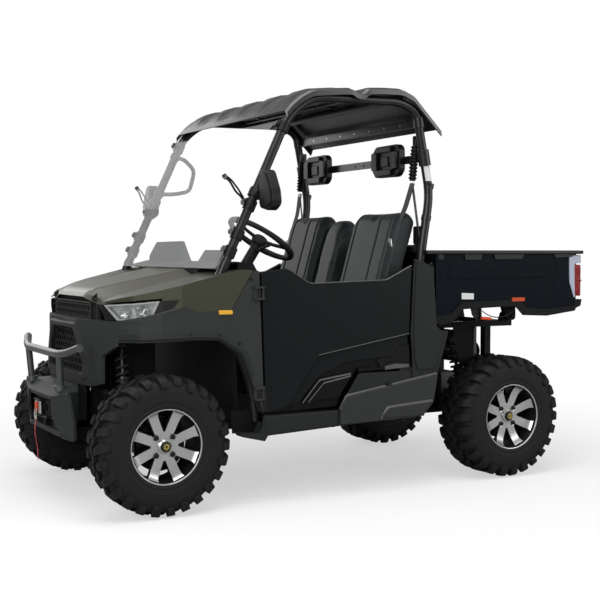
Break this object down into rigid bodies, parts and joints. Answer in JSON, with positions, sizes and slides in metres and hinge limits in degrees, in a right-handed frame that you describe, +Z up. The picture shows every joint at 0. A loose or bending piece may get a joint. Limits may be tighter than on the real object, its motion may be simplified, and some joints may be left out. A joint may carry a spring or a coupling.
{
  "type": "side by side utility vehicle",
  "caption": "Two-door side by side utility vehicle with a tube cage, roof, tilting windscreen, bull bar, half doors and a tipping cargo bed.",
  "frame": {"origin": "on the ground under the middle of the outline", "axes": "+X forward, +Y to the left side of the vehicle, +Z up"},
  "size_m": [2.789, 1.624, 1.98],
  "materials": {
    "bar_paint": "satin",
    "bed_paint": "satin",
    "body_plastic": "fine grained",
    "cast_grey": "cast",
    "door_paint": "satin",
    "engine_grey": "cast",
    "frame_paint": "satin powder coat",
    "grip_rubber": "soft grip",
    "hook_red": "satin",
    "lamp_clear": "clear lens",
    "lamp_red": "gloss lens",
    "muffler_steel": "brushed",
    "olive_paint": "satin metallic",
    "release_orange": "gloss",
    "rim_alloy": "machined",
    "roof_plastic": "matte",
    "screen": "clear sheet",
    "shock_steel": "black coil",
    "trim_black": "matte",
    "tub_plastic": "textured",
    "tyre": "rubber",
    "vinyl": "grained vinyl",
    "webbing": "woven"
  },
  "bodies": {
    "chassis": {"main_frame": "frame_paint", "skid_plate": "frame_paint", "hitch_tube": "frame_paint", "roll_cage": "frame_paint", "roof": "roof_plastic", "floor_tub": "tub_plastic", "seat_box": "tub_plastic", "dashboard": "tub_plastic", "side_cowls": "olive_paint", "front_fenders": "body_plastic", "front_fascia": "body_plastic", "grille_mesh": "trim_black", "front_lamps": "lamp_clear", "bull_bar": "bar_paint", "winch": "trim_black", "winch_hook": "hook_red", "windscreen_lower": "screen", "windscreen_upper": "screen", "windscreen_clamps": "trim_black", "grab_handle": "trim_black", "mirrors": "trim_black", "seat_cushions": "vinyl", "seat_backs": "vinyl", "headrest_bar": "frame_paint", "headrests": "vinyl", "seat_belts": "webbing", "steering_column": "frame_paint", "rocker_panels": "body_plastic", "rear_side_panels": "body_plastic", "suspension_arms": "frame_paint", "shock_absorbers": "shock_steel", "engine_block": "engine_grey", "driveline": "cast_grey", "muffler": "muffler_steel"},
    "hood_body": {"hood": "olive_paint"},
    "left_door_body": {"left_door": "door_paint"},
    "right_door_body": {"right_door": "door_paint"},
    "bed": {"bed_box": "bed_paint", "bed_rails": "trim_black", "bed_release": "release_orange", "tail_lights": "lamp_red"},
    "tailgate_body": {"tailgate": "bed_paint"},
    "steering_wheel_body": {"steering_wheel": "grip_rubber"},
    "left_steer": {"front_left_knuckle": "cast_grey"},
    "right_steer": {"front_right_knuckle": "cast_grey"},
    "front_left_wheel": {"front_left_tyre": "tyre", "front_left_rim": "rim_alloy"},
    "front_right_wheel": {"front_right_tyre": "tyre", "front_right_rim": "rim_alloy"},
    "rear_left_wheel": {"rear_left_tyre": "tyre", "rear_left_rim": "rim_alloy"},
    "rear_right_wheel": {"rear_right_tyre": "tyre", "rear_right_rim": "rim_alloy"}
  },
  "joints": [
    {"name": "left_steer_turn", "type": "hinge", "parent": "chassis", "child": "left_steer", "pos_m": [1.0105, 0.53, 0.3175], "axis": [0, 0, 1], "range_deg": [-30, 30]},
    {"name": "right_steer_turn", "type": "hinge", "parent": "chassis", "child": "right_steer", "pos_m": [1.0105, -0.53, 0.3175], "axis": [0, 0, 1], "range_deg": [-30, 30]},
    {"name": "steering_wheel_turn", "type": "hinge", "parent": "chassis", "child": "steering_wheel_body", "pos_m": [0.3805, 0.357, 1.227], "axis": [-0.5534, 0, 0.8329], "range_deg": [-270, 270]},
    {"name": "front_left_wheel_spin", "type": "hinge", "parent": "left_steer", "child": "front_left_wheel", "pos_m": [1.0105, 0.61, 0.3175], "axis": [0, 1, 0], "continuous": true},
    {"name": "front_right_wheel_spin", "type": "hinge", "parent": "right_steer", "child": "front_right_wheel", "pos_m": [1.0105, -0.61, 0.3175], "axis": [0, 1, 0], "continuous": true},
    {"name": "rear_left_wheel_spin", "type": "hinge", "parent": "chassis", "child": "rear_left_wheel", "pos_m": [-0.9095, 0.587, 0.3175], "axis": [0, 1, 0], "continuous": true},
    {"name": "rear_right_wheel_spin", "type": "hinge", "parent": "chassis", "child": "rear_right_wheel", "pos_m": [-0.9095, -0.587, 0.3175], "axis": [0, 1, 0], "continuous": true},
    {"name": "left_door_swing", "type": "hinge", "parent": "chassis", "child": "left_door_body", "pos_m": [0.5365, 0.702, 0.755], "axis": [0, 0, -1], "range_deg": [0, 70]},
    {"name": "right_door_swing", "type": "hinge", "parent": "chassis", "child": "right_door_body", "pos_m": [0.5365, -0.702, 0.755], "axis": [0, 0, 1], "range_deg": [0, 70]},
    {"name": "hood_tilt", "type": "hinge", "parent": "chassis", "child": "hood_body", "pos_m": [1.2025, 0, 0.957], "axis": [0, 1, 0], "range_deg": [0, 60]},
    {"name": "bed_tilt", "type": "hinge", "parent": "chassis", "child": "bed", "pos_m": [-1.2495, 0, 0.812], "axis": [0, -1, 0], "range_deg": [0, 45]},
    {"name": "tailgate_drop", "type": "hinge", "parent": "bed", "child": "tailgate_body", "pos_m": [-1.3695, 0, 0.884], "axis": [0, -1, 0], "range_deg": [0, 90]}
  ],
  "couplings": [
    {"joint": "right_steer_turn", "follows": "left_steer_turn", "ratio": 1},
    {"joint": "steering_wheel_turn", "follows": "left_steer_turn", "ratio": 9}
  ]
}
